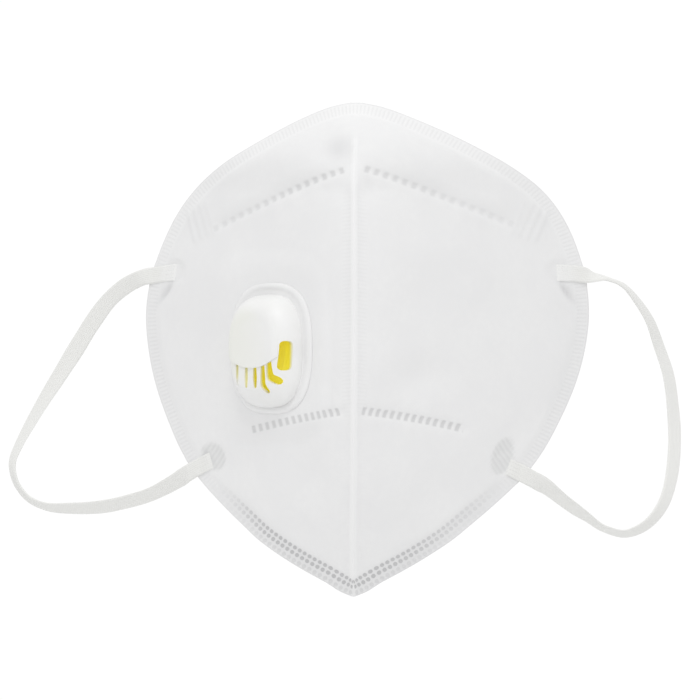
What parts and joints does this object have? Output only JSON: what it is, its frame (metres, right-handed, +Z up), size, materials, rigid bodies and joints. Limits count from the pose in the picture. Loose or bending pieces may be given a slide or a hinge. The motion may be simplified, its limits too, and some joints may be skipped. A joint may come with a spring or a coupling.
{
  "type": "disposable dust mask",
  "caption": "Disposable fold-flat dust mask: cupped white nonwoven shell with a front seam, hidden nose clip, side exhalation valve with a silicone flap, and elastic ear loops.",
  "frame": {"origin": "middle of the face opening, where the wearer's face meets the mask (mount face_seal)", "axes": "+Z up as worn, -Y the way the wearer looks, +Y towards the face, +X the wearer's left"},
  "size_m": [0.2208, 0.1063, 0.1588],
  "materials": {
    "web_white": "matt spunbond nonwoven",
    "filter_white": "melt-blown web",
    "stiffener_white": "needle-punched felt",
    "lining_white": "soft spunbond nonwoven",
    "clip_aluminium": "soft bare strip",
    "foam_grey": "open-cell polyurethane foam",
    "valve_white": "semi-matt moulded polypropylene",
    "flap_yellow": "smooth silicone",
    "elastic_white": "flat knitted elastic"
  },
  "bodies": {
    "left_half": {"outer_web_left_cheek": "web_white", "filter_media_left_cheek": "filter_white", "stiffener_web_left_cheek": "stiffener_white", "inner_web_left_cheek": "lining_white", "front_seam": "web_white", "nose_clip": "clip_aluminium", "nose_foam": "foam_grey", "loop_tab_upper_left": "elastic_white", "loop_tab_lower_left": "elastic_white"},
    "right_half": {"outer_web_right_cheek": "web_white", "filter_media_right_cheek": "filter_white", "stiffener_web_right_cheek": "stiffener_white", "inner_web_right_cheek": "lining_white", "loop_tab_upper_right": "elastic_white", "loop_tab_lower_right": "elastic_white", "valve_seat": "valve_white", "valve_cover": "valve_white", "valve_weld_ring": "valve_white"},
    "valve_flap": {"valve_flap": "flap_yellow"},
    "ear_loop_left": {"ear_loop_left": "elastic_white"},
    "ear_loop_right": {"ear_loop_right": "elastic_white"}
  },
  "joints": [
    {"name": "half_spread", "type": "hinge", "parent": "left_half", "child": "right_half", "pos_m": [0, -0.0725, 0], "axis": [0, 0, 1], "range_deg": [-7, 12], "stiffness_Nm_per_rad": 0.02, "deforming": ["front_seam", "nose_clip", "nose_foam"]},
    {"name": "valve_flap_open", "type": "hinge", "parent": "right_half", "child": "valve_flap", "pos_m": [-0.03035, -0.05237, 0.01521], "axis": [-0.7393, 0.6733, 0], "range_deg": [0, 7], "stiffness_Nm_per_rad": 0.0005},
    {"name": "ear_left", "type": "hinge", "parent": "left_half", "child": "ear_loop_left", "pos_m": [0.05428, -0.02303, -0.04159], "axis": [0.2416, 0.3128, 0.9186], "range_deg": [-45, 60], "stiffness_Nm_per_rad": 0.003},
    {"name": "ear_right", "type": "hinge", "parent": "right_half", "child": "ear_loop_right", "pos_m": [-0.05657, -0.02072, -0.03939], "axis": [0.2281, -0.3034, -0.9252], "range_deg": [-45, 60], "stiffness_Nm_per_rad": 0.003}
  ]
}
